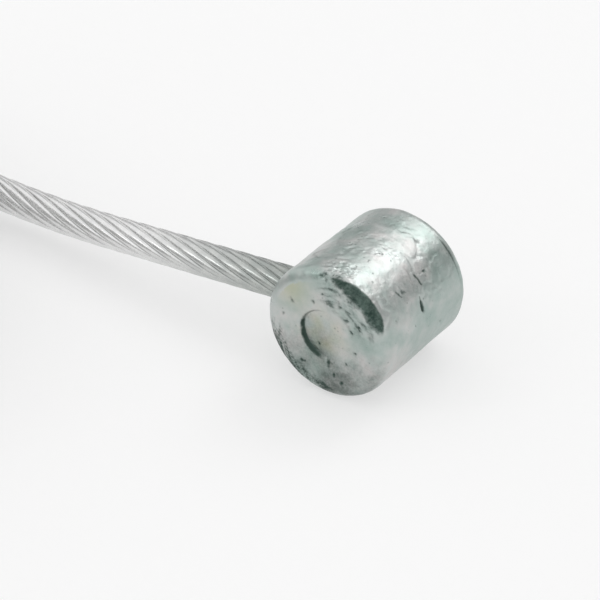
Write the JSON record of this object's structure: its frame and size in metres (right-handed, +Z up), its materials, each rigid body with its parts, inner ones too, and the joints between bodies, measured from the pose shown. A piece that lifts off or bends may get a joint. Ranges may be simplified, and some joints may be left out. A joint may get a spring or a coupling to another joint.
{
  "type": "bicycle brake inner cable",
  "caption": "Steel brake inner cable with a cast zinc barrel nipple on one end and a fused free end, wound into a tied round coil.",
  "frame": {"origin": "bottom centre of the barrel nipple, on the surface that it lies on", "axes": "+Z up; +Y along the barrel's axis towards its plain end, -Y to its marked end; the cable leaves towards -X"},
  "size_m": [0.0552, 0.0393, 0.0104],
  "materials": {
    "cast_zinc": "as cast, grey with a greenish tone, darker in the flow marks",
    "strand_steel": "bright drawn wire with grey grooves",
    "fused_steel": "fused wire ends, heat-toned satin",
    "tie_paper": "matt off-white paper over a thin steel wire"
  },
  "bodies": {
    "root": {"barrel_nipple": "cast_zinc", "splayed_wire_end": "strand_steel", "cable_run": "strand_steel", "cable_coil": "strand_steel", "cable_tail": "strand_steel", "soldered_tip": "fused_steel", "coil_tie_1": "tie_paper", "coil_tie_2": "tie_paper"}
  },
  "joints": []
}
